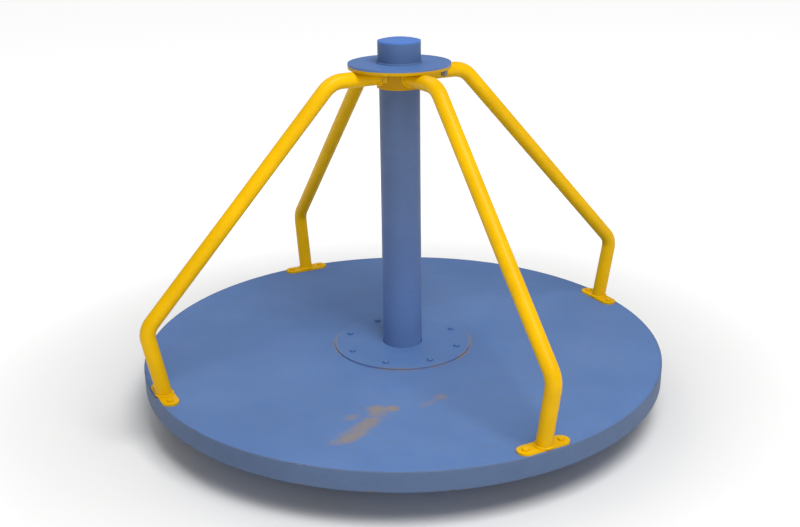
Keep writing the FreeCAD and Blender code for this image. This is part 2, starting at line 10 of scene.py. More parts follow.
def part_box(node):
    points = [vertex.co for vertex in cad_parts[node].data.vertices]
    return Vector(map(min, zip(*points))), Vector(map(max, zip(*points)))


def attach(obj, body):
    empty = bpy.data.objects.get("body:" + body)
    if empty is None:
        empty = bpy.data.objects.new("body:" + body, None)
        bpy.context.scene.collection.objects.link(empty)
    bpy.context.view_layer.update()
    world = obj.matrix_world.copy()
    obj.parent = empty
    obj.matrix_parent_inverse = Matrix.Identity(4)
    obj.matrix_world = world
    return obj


bl_info = {
    "name": "Playground Merry-Go-Round",
    "version": (1, 0, 0),
    "blender": (4, 5, 0),
    "location": "View3D > Sidebar > Merry-Go-Round",
    "description": "Paints and finishes a playground merry-go-round and sets its stage",
    "category": "Add Mesh",
}

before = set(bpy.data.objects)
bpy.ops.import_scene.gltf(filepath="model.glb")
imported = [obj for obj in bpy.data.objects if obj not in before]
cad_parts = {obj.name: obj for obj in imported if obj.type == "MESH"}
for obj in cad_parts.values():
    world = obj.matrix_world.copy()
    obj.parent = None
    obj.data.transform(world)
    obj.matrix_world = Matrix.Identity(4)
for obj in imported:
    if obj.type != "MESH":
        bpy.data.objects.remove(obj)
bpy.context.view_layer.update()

# Heights and radii that the pieces share, all read from the frame.
DECK_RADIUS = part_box("rim_band")[1].x
DECK_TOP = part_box("deck_plate")[1].z
DECK_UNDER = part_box("deck_plate")[0].z
RIM_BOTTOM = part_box("rim_band")[0].z
SHEET_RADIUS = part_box("deck_plate")[1].x
POST_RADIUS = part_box("centre_post")[1].x
COVER_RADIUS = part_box("cover_plate")[1].x
COVER_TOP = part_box("cover_plate")[1].z
HUB_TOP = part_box("hub_disc")[1].z
HUB_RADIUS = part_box("hub_disc")[1].x
FLANGE_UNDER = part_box("hub_flange")[0].z
COLLAR_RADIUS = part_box("hub_collar")[1].x
CAP_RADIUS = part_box("bearing_cap")[1].x
FOOT_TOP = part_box("foot_bar_1")[1].z
PLATE_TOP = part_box("ground_plate")[1].z

# Handles and spokes round the post, with the handles' places in degrees from +X, then in radians.
SPOKE_COUNT = 8
HANDLE_COUNT = 4
FIRST_HANDLE = 45
HANDLE_STEP = 360 // HANDLE_COUNT
HANDLE_ANGLES = [math.radians(FIRST_HANDLE + HANDLE_STEP * number) for number in range(HANDLE_COUNT)]

# Widths of the roundings on worn edges, their steps, and the least corner that counts as an edge.
FINE_EDGE = 0.0008
PLATE_EDGE = 0.0010
BAR_EDGE = 0.0012
EDGE_STEPS = 2
EDGE_CORNER = math.radians(40)

# Weld beads: sides of the section, and steps round a tube's end.
BEAD_SIDES = 8
TUBE_STEPS = 96

# How far a bead's middle stands off the tube that it goes round.
BEAD_LIFT = 0.0010

# Where other beads' middles lie, as shares of the bead's radius: under the deck's top, out of a corner, out
# of the cap's corner, and below the deck's underside at a spoke's end.
SEAM_SINK = 0.72
CORNER_SET = 0.3
CAP_SET = 0.2
SPOKE_SINK = 0.4

# How unevenly a bead swells, and the share of its radius that is left at an open end.
BEAD_UNEVEN = 0.05
BEAD_TAPER = 0.45

# Share of a spoke's width that its welds cover.
SPOKE_WELD_SHARE = 0.92

# How far from the collar and the foot bar a handle's end is looked for.
COLLAR_REACH = 0.002
FOOT_REACH = 0.0005

# The floor lies this far under the ground plate, so that the two faces don't coincide.
FLOOR_GAP = 0.0004

# Height that the lights point at, and the width of the camera's sensor in millimetres.
LIGHT_AIM = 0.5
SENSOR_WIDTH = 36.0


# ---- settings --------------------------------------------------------------

def colour(label, note, value):
    return FloatVectorProperty(name=label, description=note, default=value,
                               size=3, subtype="COLOR", min=0.0, max=1.0)


def length(label, note, value):
    return FloatProperty(name=label, description=note, default=value, unit="LENGTH", subtype="DISTANCE")


def angle(label, note, value):
    return FloatProperty(name=label, description=note, default=value, unit="ROTATION", subtype="ANGLE")


class PaintSettings(bpy.types.PropertyGroup):
    """Colours of the paints and bare metals."""
    deck: colour("Deck blue", "Paint on the deck", (0.092, 0.190, 0.440))
    # The rim's blue is greyer than the deck's, and darker as painted shade on its upright face.
    rim: colour("Rim blue", "Greyer paint on the rim, darkened as painted shade", (0.090, 0.140, 0.255))
    # The post runs from the lighter foot blue to the darker upper blue: painted light low down, painted shade
    # higher up.
    post: colour("Post blue", "Paint on the upper post", (0.084, 0.130, 0.255))
    post_foot: colour("Post foot blue", "Lighter paint low on the post, as painted light", (0.115, 0.205, 0.450))
    hub: colour("Hub blue", "Paint on the hub disc", (0.080, 0.165, 0.400))
    # One blue paint, darkened as painted shade on the cap's side and brightened as painted light on the lid's
    # top.
    cap: colour("Cap blue", "Paint round the bearing cap, darkened as painted shade on its side", (0.068, 0.125, 0.270))
    lid: colour("Lid blue", "Paint on the cap's lid, brightened as painted light on its top", (0.070, 0.178, 0.520))
    handle: colour("Handle yellow", "Paint on the handles and their foot bars", (0.76, 0.43, 0.0))
    # The flange's and collar's yellows are the handles' yellow darkened as painted shade under the hub disc.
    flange: colour("Flange yellow", "Paint on the hub flange", (0.48, 0.27, 0.0))
    collar: colour("Collar yellow", "Paint on the collar, darkened as painted shade under the flange", (0.52, 0.28, 0.0))
    rust: colour("Rust", "Rust where the paint has gone", (0.16, 0.075, 0.04))
    stain: colour("Stain", "Rusty dirt trodden into the deck", (0.375, 0.235, 0.02))
    dust: colour("Dust", "Dry dust lying on the deck", (0.20, 0.25, 0.36))
    primer: colour("Primer", "Grey primer on the hidden steel", (0.13, 0.135, 0.145))
    zinc: colour("Zinc", "Dull zinc plate on nuts and washers", (0.42, 0.43, 0.44))


class WeldSettings(bpy.types.PropertyGroup):
    """Sizes of the weld beads."""
    bead: length("Bead", "Radius of a fillet bead", 0.0034)
    seam: length("Seam", "Radius of the deck's edge seam", 0.0030)
    pitch: length("Ripple pitch", "Length of one ripple along a bead", 0.0045)
    ripple: FloatProperty(name="Ripple", description="Height of a ripple as a share of the bead",
                          default=0.11, min=0.0, max=0.5, subtype="FACTOR")


class StageSettings(bpy.types.PropertyGroup):
    """Camera, floor and lights."""
    lens: FloatProperty(name="Lens", description="Focal length in millimetres", default=49.0, unit="CAMERA")
    turn: angle("Turn", "Camera's place round the post, from -Y towards +X", math.radians(17.2))
    distance: length("Distance", "Camera's distance from the post", 3.01)
    height: length("Height", "Camera's height over the deck", 1.333)
    tilt: angle("Tilt", "How far the camera looks down", math.radians(19.8))
    roll: angle("Roll", "Roll of the camera", math.radians(-0.75))
    swing: angle("Swing", "How far the camera looks off the post", math.radians(-0.1))
    floor: colour("Floor", "Plain pale floor", (0.86, 0.86, 0.86))
    floor_glow: FloatProperty(name="Floor glow", description="Evenness of the far floor", default=0.66)
    floor_size: length("Floor size", "Half the width of the floor", 30.0)
    studio: FloatProperty(name="Studio", description="Strength of the light from all round", default=0.34)


# ---- shader maths ----------------------------------------------------------

class Field:
    """A number, colour or vector that varies over a surface."""

    def __init__(self, surface, socket):
        self.surface = surface
        self.socket = socket

    def _math(self, operation, first, second):
        return self.surface.node("ShaderNodeMath", {"operation": operation}, {0: first, 1: second})

    def __add__(self, other):
        return self._math("ADD", self, other)

    __radd__ = __add__

    def __sub__(self, other):
        return self._math("SUBTRACT", self, other)

    def __rsub__(self, other):
        return self._math("SUBTRACT", other, self)

    def __mul__(self, other):
        return self._math("MULTIPLY", self, other)

    __rmul__ = __mul__

    def __truediv__(self, other):
        return self._math("DIVIDE", self, other)

    def __pow__(self, other):
        return self._math("POWER", self, other)

    def larger(self, other):
        return self._math("MAXIMUM", self, other)

    def smaller(self, other):
        return self._math("MINIMUM", self, other)

    def size(self):
        return self._math("ABSOLUTE", self, 0.0)

    def rise(self, start, end):
        """0 below start, 1 above end, smooth between. With start over end it falls."""
        return self.surface.node(
            "ShaderNodeMapRange", {"interpolation_type": "SMOOTHSTEP"},
            {"Value": self, "From Min": start, "From Max": end, "To Min": 0.0, "To Max": 1.0})


class Surface:
    """A material that is built node by node on one Principled shader."""

    def __init__(self, name):
        self.material = bpy.data.materials.new(name)
        self.material.use_nodes = True
        self.nodes = self.material.node_tree.nodes
        self.links = self.material.node_tree.links
        self.shader = self.nodes["Principled BSDF"]

    def node(self, kind, settings=None, inputs=None, output=0):
        made = self.nodes.new(kind)
        for key, value in (settings or {}).items():
            setattr(made, key, value)
        for key, value in (inputs or {}).items():
            self.feed(made.inputs[key], value)
        return Field(self, made.outputs[output])

    def feed(self, socket, value):
        if isinstance(value, Field):
            self.links.new(value.socket, socket)
        elif hasattr(value, "__len__") and len(value) == 3 and socket.type == "RGBA":
            socket.default_value = (*value, 1.0)
        else:
            socket.default_value = value

    def place(self):
        """Position on the object, in metres."""
        return self.node("ShaderNodeTexCoord", output="Object")

    def axes(self, vector):
        parts = self.node("ShaderNodeSeparateXYZ", inputs={0: vector}).socket.node
        return [Field(self, socket) for socket in parts.outputs]

    def facing_up(self):
        normal = self.node("ShaderNodeNewGeometry", output="Normal")
        return self.axes(normal)[2]

    def stretched(self, vector, scale):
        return self.node("ShaderNodeVectorMath", {"operation": "MULTIPLY"}, {0: vector, 1: scale})

    def noise(self, vector, scale, detail, roughness, distortion=0.0):
        return self.node("ShaderNodeTexNoise", None, {
            "Vector": vector, "Scale": scale, "Detail": detail,
            "Roughness": roughness, "Distortion": distortion})

    def mix(self, factor, first, second):
        """Blend two colours. When nothing in it varies, the result is a fixed colour."""
        if not any(isinstance(value, Field) for value in (factor, first, second)):
            return tuple(start + (end - start) * factor for start, end in zip(first, second))
        return self.node("ShaderNodeMix", {"data_type": "RGBA"}, {0: factor, 6: first, 7: second}, 2)

    def shade(self, hue, factor):
        """A colour made darker or lighter, where the colour or the factor may vary."""
        if not isinstance(hue, Field) and not isinstance(factor, Field):
            return tint(hue, factor)
        spread = self.node("ShaderNodeCombineColor", None, {0: factor, 1: factor, 2: factor})
        return self.node("ShaderNodeMix", {"data_type": "RGBA", "blend_type": "MULTIPLY"},
                         {0: 1.0, 6: hue, 7: spread}, 2)

    def polar(self, vector):
        """Distance from the post's axis, and the position it was read from."""
        x, y, z = self.axes(vector)
        return (x * x + y * y) ** 0.5, x, y, z

    def bump(self, height, distance, strength):
        return self.node("ShaderNodeBump", None,
                         {"Height": height, "Distance": distance, "Strength": strength})

    def finish(self, **values):
        """Feed the shader's own sockets; an underscore in a name stands for a space."""
        for key, value in values.items():
            self.feed(self.shader.inputs[key.replace("_", " ")], value)
        return self.material


def tint(hue, factor):
    """A fixed colour, made darker or lighter."""
    return tuple(min(1.0, channel * factor) for channel in hue)


# Stains on the deck: middle in metres, direction in degrees, half length and half width in metres, depth of
# colour.
STAINS = (
    ((0.045, -0.605), 50.0, 0.050, 0.018, 0.95),
    ((0.060, -0.535), 70.0, 0.085, 0.024, 0.85),
    ((0.065, -0.450), 85.0, 0.035, 0.026, 0.90),
    ((0.100, -0.425), 30.0, 0.018, 0.016, 1.00),
    ((0.015, -0.500), 60.0, 0.026, 0.016, 0.60),
    ((0.205, -0.325), 20.0, 0.020, 0.016, 0.75),
    ((0.185, -0.370), 60.0, 0.034, 0.012, 0.45),
)

# Rusty arcs along the cover plate's edge: heading and reach in degrees, depth of colour.
COVER_STAINS = (
    (-158.0, 34.0, 0.62),
    (-76.0, 26.0, 0.60),
    (-42.0, 14.0, 0.50),
    (-12.0, 12.0, 0.95),
    (12.0, 22.0, 0.70),
)

# Height where the post's painted shade is at its darkest.
DARKEST_SHADE_HEIGHT = 0.75

# Share of the paint that the deepest stain hides.
STAIN_COVER = 0.66

# Grime on the yellow paint.
GRIME = (0.33, 0.17, 0.01)

# Black rubber of the seals.
RUBBER = (0.03, 0.03, 0.03)


def paints():
    """The scene's paint settings."""
    return bpy.context.scene.mgr_paint


def paint_coat(surface, hue, rough, bare=0.0, wear=0.0, dusty=0.0, stained=0.0):
    """Brushed enamel: faded in patches, scuffed, dusty on top, with rust where `bare` is 1.

    `rough` is the clean paint's roughness, `wear` how thin the paint is, `dusty` how much dust lies on level
    faces, and `stained` how rusty the dirt on it is. All run from 0 to 1, and `bare`, `wear` and `stained`
    may vary.
    """
    here = surface.place()
    settings = paints()
    patches = surface.noise(here, scale=3.2, detail=5.0, roughness=0.6)
    mottle = surface.noise(here, scale=26.0, detail=6.0, roughness=0.65)
    grain = surface.noise(here, scale=420.0, detail=2.0, roughness=0.5)
    runs = surface.noise(surface.stretched(here, (60.0, 60.0, 5.0)), scale=1.0, detail=3.0, roughness=0.6)
    faded = surface.mix(patches.rise(0.30, 0.75), surface.shade(hue, 0.93), surface.shade(hue, 1.08))
    faded = surface.mix(mottle.rise(0.42, 0.75) * 0.4, faded, surface.shade(hue, 0.84))
    scuff = surface.noise(here, scale=9.0, detail=9.0, roughness=0.72, distortion=0.6).rise(0.56, 0.80)
    thin = (scuff * 0.16 + wear).smaller(1.0)
    worn = surface.mix(thin, faded, surface.mix(0.55, hue, settings.dust))
    if dusty:
        lying = surface.facing_up().rise(0.55, 0.98) * (patches * 0.6 + mottle * 0.7).rise(0.38, 0.95)
        worn = surface.mix(lying * dusty, worn, tuple(settings.dust))
    if isinstance(stained, Field):
        worn = surface.mix(stained * STAIN_COVER, worn, tuple(settings.stain))
    rust_tone = surface.mix(surface.noise(here, scale=60.0, detail=5.0, roughness=0.7).rise(0.3, 0.7),
                            tint(settings.rust, 0.55), tint(settings.rust, 1.75))
    flecks = surface.noise(here, scale=85.0, detail=6.0, roughness=0.72)
    eaten = (bare * 1.25 + flecks - 0.9).rise(0.12, 0.36)
    whole = surface.mix(eaten, worn, rust_tone)
    height = grain * 0.25 + mottle * 0.35 + runs * 0.25 - eaten * 0.8
    return surface.finish(
        Base_Color=whole,
        Roughness=(rough + mottle * 0.16 + thin * 0.18 + eaten * 0.35).smaller(0.95),
        Normal=surface.bump(height, 0.0006, 0.55),
        Specular_IOR_Level=0.22,
    )


def edge_chips(surface, distance_from_edge, reach):
    """How likely the paint is chipped near an edge, given the distance from it."""
    broken = surface.noise(surface.place(), scale=34.0, detail=5.0, roughness=0.7)
    return distance_from_edge.rise(reach, 0.0) * broken.rise(0.42, 0.72)


def deck_paint():
    """Blue deck paint, trodden thin between post and rim, with the rusty stains on its top."""
    surface = Surface("deck paint")
    here = surface.place()
    radius, x, y, z = surface.polar(here)
    ragged = surface.noise(here, scale=24.0, detail=6.0, roughness=0.7)
    stained = 0.0
    for middle, slope, long, wide, depth in STAINS:
        ahead, aside = stain_axes(x, y, middle, math.radians(slope))
        spread = (ahead * ahead) * (1.0 / long ** 2) + (aside * aside) * (1.0 / wide ** 2)
        mark = (spread ** 0.5 + (ragged - 0.5) * 2.2).rise(1.45, 0.25) * depth
        stained = mark.larger(stained)
    broken = surface.noise(here, scale=75.0, detail=4.0, roughness=0.7).rise(0.30, 0.62)
    stained = (stained * (0.45 + broken * 0.55)).larger(cover_rust(surface, radius, x, y))
    stained = stained * z.rise(DECK_UNDER, DECK_TOP)
    rim = edge_chips(surface, DECK_RADIUS - radius, 0.009) * 0.7
    treads = radius.rise(0.24, 0.40) * radius.rise(0.76, 0.60) * 0.08
    return paint_coat(surface, tuple(paints().deck), rough=0.46, bare=rim, wear=treads, dusty=0.20,
                      stained=stained)


def stain_axes(x, y, middle, slope):
    """Distances along and across a stain from its middle."""
    east, north = x - middle[0], y - middle[1]
    return (east * math.cos(slope) + north * math.sin(slope),
            north * math.cos(slope) - east * math.sin(slope))


def rim_paint():
    """Blue rim paint, greyer and darker than the deck's as painted shade on its upright face, chipped along
    both edges.
    """
    surface = Surface("rim paint")
    z = surface.axes(surface.place())[2]
    edges = edge_chips(surface, z - RIM_BOTTOM, 0.008) + edge_chips(surface, DECK_TOP - z, 0.004)
    return paint_coat(surface, tuple(paints().rim), rough=0.48, bare=edges * 0.8, wear=0.04, dusty=0.3)


def cover_rust(surface, radius, x, y):
    """Broken arcs of rust that have bled from under the cover plate's edge."""
    here = surface.place()
    arcs = 0.10
    for degrees, reach, depth in COVER_STAINS:
        heading = math.radians(degrees)
        ahead = (x * math.cos(heading) + y * math.sin(heading)) / COVER_RADIUS
        arcs = (ahead.rise(math.cos(math.radians(reach)), 1.0) * depth).larger(arcs)
    ragged = surface.noise(here, scale=55.0, detail=4.0, roughness=0.7).rise(0.25, 0.62)
    return (radius - COVER_RADIUS).size().rise(0.0095, 0.0) * arcs * (0.35 + ragged * 0.65)


def cover_paint():
    """Blue paint of the cover plate, with rust along its edge."""
    surface = Surface("cover paint")
    radius, x, y, _ = surface.polar(surface.place())
    return paint_coat(surface, tint(paints().deck, 1.02), rough=0.36, dusty=0.10,
                      stained=cover_rust(surface, radius, x, y))


def bolt_paint():
    """Blue paint on the cover bolts, chipped by spanners."""
    surface = Surface("bolt paint")
    chips = surface.noise(surface.place(), scale=120.0, detail=4.0, roughness=0.7).rise(0.60, 0.75) * 0.6
    return paint_coat(surface, tint(paints().deck, 1.02), rough=0.38, bare=chips, wear=0.08)


def post_paint():
    """Blue post paint, lighter at the foot and darker towards the head as painted light and shade."""
    surface = Surface("post paint")
    z = surface.axes(surface.place())[2]
    foot = edge_chips(surface, z - COVER_TOP, 0.016) * 0.7
    # Painted light and shade: the foot blue low down, the darker post blue towards the head.
    hue = surface.mix(z.rise(COVER_TOP, DARKEST_SHADE_HEIGHT), tuple(paints().post_foot), tuple(paints().post))
    return paint_coat(surface, hue, rough=0.40, bare=foot, wear=0.02)


def hub_paint(name, hue):
    """Blue paint on the hub and cap, chipped at the hub disc's edge."""
    surface = Surface(name)
    radius = surface.polar(surface.place())[0]
    edge = edge_chips(surface, HUB_RADIUS - radius, 0.004) * 0.5
    return paint_coat(surface, tuple(hue), rough=0.40, bare=edge, wear=0.02, dusty=0.05)


def handle_paint(name, hue):
    """Glossy yellow enamel with grime, a few rusty chips, and more rust at the foot."""
    surface = Surface(name)
    here = surface.place()
    z = surface.axes(here)[2]
    chips = surface.noise(here, scale=48.0, detail=5.0, roughness=0.75).rise(0.70, 0.80) * 0.75
    foot = edge_chips(surface, z - FOOT_TOP, 0.030) * 0.35
    settings = paints()
    patches = surface.noise(here, scale=5.0, detail=4.0, roughness=0.6)
    mottle = surface.noise(here, scale=34.0, detail=5.0, roughness=0.6)
    runs = surface.noise(surface.stretched(here, (45.0, 45.0, 8.0)), scale=1.0, detail=3.0, roughness=0.6)
    coat = surface.mix(patches.rise(0.35, 0.70), tint(hue, 0.93), tint(hue, 1.08))
    smears = surface.noise(here, scale=14.0, detail=8.0, roughness=0.72, distortion=0.4)
    grime = smears.rise(0.60, 0.86) * 0.35
    coat = surface.mix(grime, coat, GRIME)
    flecks = surface.noise(here, scale=95.0, detail=6.0, roughness=0.72)
    eaten = (chips.larger(foot) * 1.2 + flecks - 0.9).rise(0.15, 0.38)
    coat = surface.mix(eaten, coat, tint(settings.rust, 1.1))
    return surface.finish(
        Base_Color=coat,
        Roughness=0.27 + mottle * 0.14 + grime * 0.3 + eaten * 0.4,
        Normal=surface.bump(mottle * 0.5 + runs * 0.4 - eaten * 0.6, 0.0005, 0.5),
        Specular_IOR_Level=0.11,
    )


def primed_steel():
    """Grey primer with rust coming through."""
    surface = Surface("primed steel")
    here = surface.place()
    scale = surface.noise(here, scale=22.0, detail=6.0, roughness=0.7)
    speck = surface.noise(here, scale=140.0, detail=4.0, roughness=0.7)
    eaten = (scale * 0.8 + speck * 0.5).rise(0.70, 0.86)
    hue = surface.mix(scale.rise(0.35, 0.7), tint(paints().primer, 0.8), tint(paints().primer, 1.25))
    return surface.finish(
        Base_Color=surface.mix(eaten, hue, tuple(paints().rust)),
        Roughness=0.62 + speck * 0.2,
        Normal=surface.bump(speck * 0.6 + scale * 0.6, 0.0005, 0.6),
    )


def zinc_steel():
    """Dull zinc plate with rusty patches."""
    surface = Surface("zinc steel")
    here = surface.place()
    cloud = surface.noise(here, scale=90.0, detail=5.0, roughness=0.65)
    eaten = surface.noise(here, scale=45.0, detail=6.0, roughness=0.7).rise(0.62, 0.74)
    hue = surface.mix(cloud.rise(0.3, 0.7), tint(paints().zinc, 0.75), tint(paints().zinc, 1.15))
    return surface.finish(
        Base_Color=surface.mix(eaten, hue, tuple(paints().rust)),
        Metallic=1.0 - eaten,
        Roughness=0.38 + cloud * 0.22 + eaten * 0.3,
        Normal=surface.bump(cloud, 0.0002, 0.5),
    )


def hub_nut_paint():
    """Painted over with the flange, except for the pair towards +X, which a spanner has worn bare."""
    surface = Surface("hub nut paint")
    here = surface.place()
    x = surface.axes(here)[0]
    cloud = surface.noise(here, scale=90.0, detail=5.0, roughness=0.65)
    bare = (x + (cloud - 0.5) * 0.02).rise(0.095, 0.105)
    hue = surface.mix(cloud.rise(0.3, 0.7), tint(paints().zinc, 0.42), tint(paints().zinc, 0.62))
    return surface.finish(
        # The painted nuts take the collar's yellow, darkened as painted shade.
        Base_Color=surface.mix(bare, tuple(paints().collar), hue),
        Metallic=bare * 0.8,
        Roughness=0.42 + cloud * 0.2,
        Normal=surface.bump(cloud, 0.0002, 0.5),
        Specular_IOR_Level=0.2,
    )


def hub_bolt_paint():
    """Blue where the heads lie flush in the disc, and yellow below the flange."""
    surface = Surface("hub bolt paint")
    z = surface.axes(surface.place())[2]
    # Below the flange the bolts take the collar's yellow, darkened as painted shade.
    hue = surface.mix(z.rise(FLANGE_UNDER - 0.001, FLANGE_UNDER), tuple(paints().collar), tuple(paints().hub))
    return paint_coat(surface, hue, rough=0.42, wear=0.02)


def ground_steel():
    """Bright turned steel, with fine lines round the axis."""
    surface = Surface("ground steel")
    radius, _, _, z = surface.polar(surface.place())
    rings = surface.node("ShaderNodeCombineXYZ", None, {0: radius * 900.0, 2: z * 900.0})
    lines = surface.noise(rings, scale=1.0, detail=2.0, roughness=0.5)
    return surface.finish(
        Base_Color=surface.mix(lines, (0.50, 0.51, 0.53), (0.66, 0.67, 0.69)),
        Metallic=1.0,
        Roughness=0.20 + lines * 0.14,
        Normal=surface.bump(lines, 0.00004, 0.5),
    )


def plain_material(name, hue, rough, metal=0.0, scale=200.0, bump=0.0003):
    """A cast or moulded material with an even grain, about `scale` grains to the metre and `bump` deep."""
    surface = Surface(name)
    grain = surface.noise(surface.place(), scale, detail=5.0, roughness=0.6)
    return surface.finish(
        Base_Color=surface.mix(grain.rise(0.3, 0.7), tint(hue, 0.86), tint(hue, 1.12)),
        Metallic=metal,
        Roughness=rough + grain * 0.15,
        Normal=surface.bump(grain, bump, 0.5),
    )


# ---- pieces ----------------------------------------------------------------

def coat(nodes, material):
    """Give CAD nodes a material."""
    for name in nodes:
        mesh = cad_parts[name]
        if not mesh.material_slots:
            mesh.data.materials.append(material)
        for slot in mesh.material_slots:
            slot.material = material


def soften(nodes, width):
    """Round the sharp edges of CAD nodes a little."""
    for name in nodes:
        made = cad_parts[name].modifiers.new("worn edge", "BEVEL")
        made.width = width
        made.segments = EDGE_STEPS
        made.limit_method = "ANGLE"
        made.angle_limit = EDGE_CORNER


def add_piece(name, mesh_maker, material, body):
    """A new mesh piece from a bmesh function, with its material, slot and body."""
    work = bmesh.new()
    mesh_maker(work)
    bmesh.ops.recalc_face_normals(work, faces=work.faces)
    mesh = bpy.data.meshes.new(name)
    work.to_mesh(mesh)
    work.free()
    for face in mesh.polygons:
        face.use_smooth = True
    piece = bpy.data.objects.new(name, mesh)
    bpy.context.scene.collection.objects.link(piece)
    mesh.materials.append(material)
    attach(piece, body)


def add_bead(work, points, outward, radius, closed, seed):
    """Sweep a rippled weld bead along points. `outward` gives each point's two section axes."""
    settings = bpy.context.scene.mgr_weld
    dice = random.Random(seed)
    rings = []
    travelled = 0.0
    last = len(points) - 1
    for number, point in enumerate(points):
        if number:
            travelled += (point - points[number - 1]).length
        wave = math.cos(math.tau * travelled / settings.pitch)
        swell = radius * (1.0 + settings.ripple * wave + dice.uniform(-BEAD_UNEVEN, BEAD_UNEVEN))
        if not closed and number in (0, last):
            swell *= BEAD_TAPER
        first, second = outward[number]
        ring = []
        for side in range(BEAD_SIDES):
            turn = math.tau * side / BEAD_SIDES
            offset = first * (math.cos(turn) * swell) + second * (math.sin(turn) * swell)
            ring.append(work.verts.new(point + offset))
        rings.append(ring)
    pairs = list(zip(rings, rings[1:]))
    if closed:
        pairs.append((rings[-1], rings[0]))
    for near, far in pairs:
        for side in range(BEAD_SIDES):
            after = (side + 1) % BEAD_SIDES
            work.faces.new((near[side], near[after], far[after], far[side]))
    if not closed:
        work.faces.new(rings[0][::-1])
        work.faces.new(rings[-1])


def ring_path(radius, height, start=0.0, end=math.tau):
    """Points and section axes of a level ring, or of part of one."""
    pitch = bpy.context.scene.mgr_weld.pitch
    closed = math.isclose(end - start, math.tau)
    count = max(8, int(abs(end - start) * radius / (pitch / 3)))
    points = []
    outward = []
    for number in range(count if closed else count + 1):
        turn = start + (end - start) * number / count
        away = Vector((math.cos(turn), math.sin(turn), 0))
        points.append(away * radius + Vector((0, 0, height)))
        outward.append((away, Vector((0, 0, 1))))
    return points, outward, closed


def add_ring_bead(work, radius, height, bead_radius, seed, start=0.0, end=math.tau):
    """A level weld bead round the post's axis, or along part of a turn."""
    points, outward, closed = ring_path(radius, height, start, end)
    add_bead(work, points, outward, bead_radius, closed, seed)


def turned(points, angle_about_post):
    """Points turned about the post."""
    spin = Matrix.Rotation(angle_about_post, 3, "Z")
    return [spin @ point for point in points]


def turned_axes(pairs, angle_about_post):
    """Pairs of section axes turned about the post."""
    spin = Matrix.Rotation(angle_about_post, 3, "Z")
    return [(spin @ first, spin @ second) for first, second in pairs]


# ---- operators -------------------------------------------------------------

class MGR_OT_deck(bpy.types.Operator):
    """Paint the deck and its rim, and weld the two together"""
    bl_idname = "mgr.deck"
    bl_label = "Deck"

    def execute(self, context):
        deck = deck_paint()
        coat(["deck_plate"], deck)
        coat(["rim_band"], rim_paint())
        soften(["rim_band"], BAR_EDGE)
        seam = context.scene.mgr_weld.seam

        def weld(work):
            add_ring_bead(work, SHEET_RADIUS, DECK_TOP - seam * SEAM_SINK, seam, seed=11)

        add_piece("rim_seam_weld", weld, deck, "carousel")
        return {"FINISHED"}


class MGR_OT_cover(bpy.types.Operator):
    """Paint the cover plate round the foot of the post, and its fasteners"""
    bl_idname = "mgr.cover"
    bl_label = "Cover plate"

    def execute(self, context):
        coat(["cover_plate"], cover_paint())
        coat(["cover_bolts"], bolt_paint())
        coat(["cover_washers", "cover_nuts"], zinc_steel())
        soften(["cover_plate"], FINE_EDGE)
        return {"FINISHED"}


class MGR_OT_under_frame(bpy.types.Operator):
    """Finish the spokes and hub tube under the deck, with their welds"""
    bl_idname = "mgr.under_frame"
    bl_label = "Under-frame"

    def execute(self, context):
        primer = primed_steel()
        spokes = [f"deck_spoke_{number}" for number in range(1, SPOKE_COUNT + 1)]
        coat(spokes + ["deck_hub_tube"], primer)
        coat(["guide_bush"], plain_material("cast nylon", (0.72, 0.70, 0.64), rough=0.45, scale=60.0))
        coat(["dust_seal"], plain_material("seal rubber", RUBBER, rough=0.65))
        bead = context.scene.mgr_weld.bead
        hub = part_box("deck_hub_tube")[1].x
        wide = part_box("deck_spoke_1")[1].y

        def weld(work):
            for number in range(SPOKE_COUNT):
                middle = math.tau * number / SPOKE_COUNT
                for radius, first_seed in ((hub, 31), (SHEET_RADIUS, 53)):
                    half = math.asin(wide / radius) * SPOKE_WELD_SHARE
                    add_ring_bead(work, radius, DECK_UNDER - bead * SPOKE_SINK, bead * 0.9,
                                  seed=first_seed + number, start=middle - half, end=middle + half)

        add_piece("spoke_welds", weld, primer, "carousel")
        return {"FINISHED"}


class MGR_OT_post(bpy.types.Operator):
    """Paint the post and finish the ground plate and gussets"""
    bl_idname = "mgr.post"
    bl_label = "Post and ground plate"

    def execute(self, context):
        primer = primed_steel()
        coat(["centre_post"], post_paint())
        coat(["ground_plate", "base_gussets"], primer)
        soften(["ground_plate"], PLATE_EDGE)
        bead = context.scene.mgr_weld.bead

        def weld(work):
            add_ring_bead(work, POST_RADIUS + bead * CORNER_SET, PLATE_TOP + bead * CORNER_SET, bead * 1.2,
                          seed=71)

        add_piece("post_foot_weld", weld, primer, "base")
        return {"FINISHED"}


class MGR_OT_bearing(bpy.types.Operator):
    """Finish the spindle, bearing and locknut inside the cap"""
    bl_idname = "mgr.bearing"
    bl_label = "Bearing"

    def execute(self, context):
        steel = ground_steel()
        coat(["spindle_head", "load_spacer", "bearing_inner_ring", "bearing_outer_ring",
              "bearing_balls"], steel)
        coat(["lock_nut", "lock_washer"], zinc_steel())
        brass = plain_material("cage brass", (0.62, 0.43, 0.16), rough=0.30, metal=1.0, scale=90.0,
                               bump=0.0001)
        coat(["ball_cage"], brass)
        coat(["bearing_seal"], plain_material("bearing rubber", RUBBER, rough=0.65))
        return {"FINISHED"}


